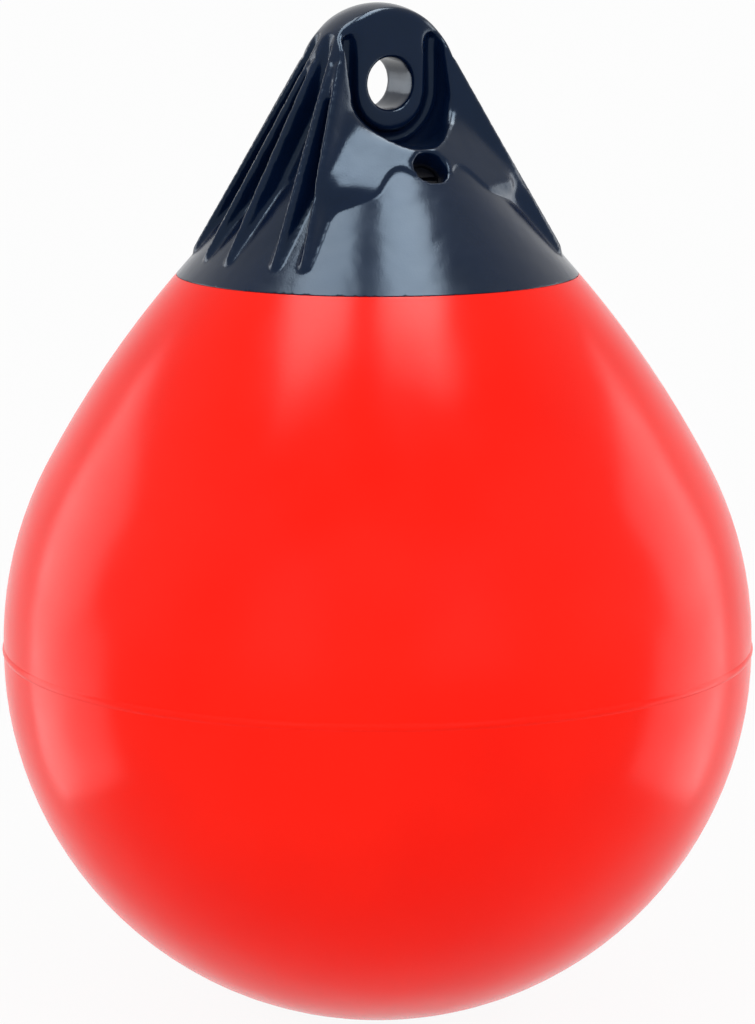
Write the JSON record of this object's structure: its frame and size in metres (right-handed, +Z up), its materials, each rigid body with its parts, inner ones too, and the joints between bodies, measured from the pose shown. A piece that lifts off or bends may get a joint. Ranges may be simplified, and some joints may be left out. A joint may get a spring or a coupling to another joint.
{
  "type": "inflatable buoy",
  "caption": "Round inflatable buoy with a finned rope hold on its neck, a rope eye across the top and a recessed air valve.",
  "frame": {"origin": "on the buoy's axis, at the still water that it floats in when it is empty and upright", "axes": "+Z up the buoy's axis to the rope eye, +Y along the eye's bore, away from the air valve"},
  "size_m": [0.281, 0.281, 0.3797],
  "materials": {
    "body_vinyl": "glossy red-orange vinyl",
    "hold_vinyl": "semi-gloss navy vinyl",
    "valve_plastic": "black nylon"
  },
  "bodies": {
    "root": {"body": "body_vinyl", "rope_hold": "hold_vinyl", "valve_seat": "valve_plastic", "valve_plug": "valve_plastic"}
  },
  "joints": []
}
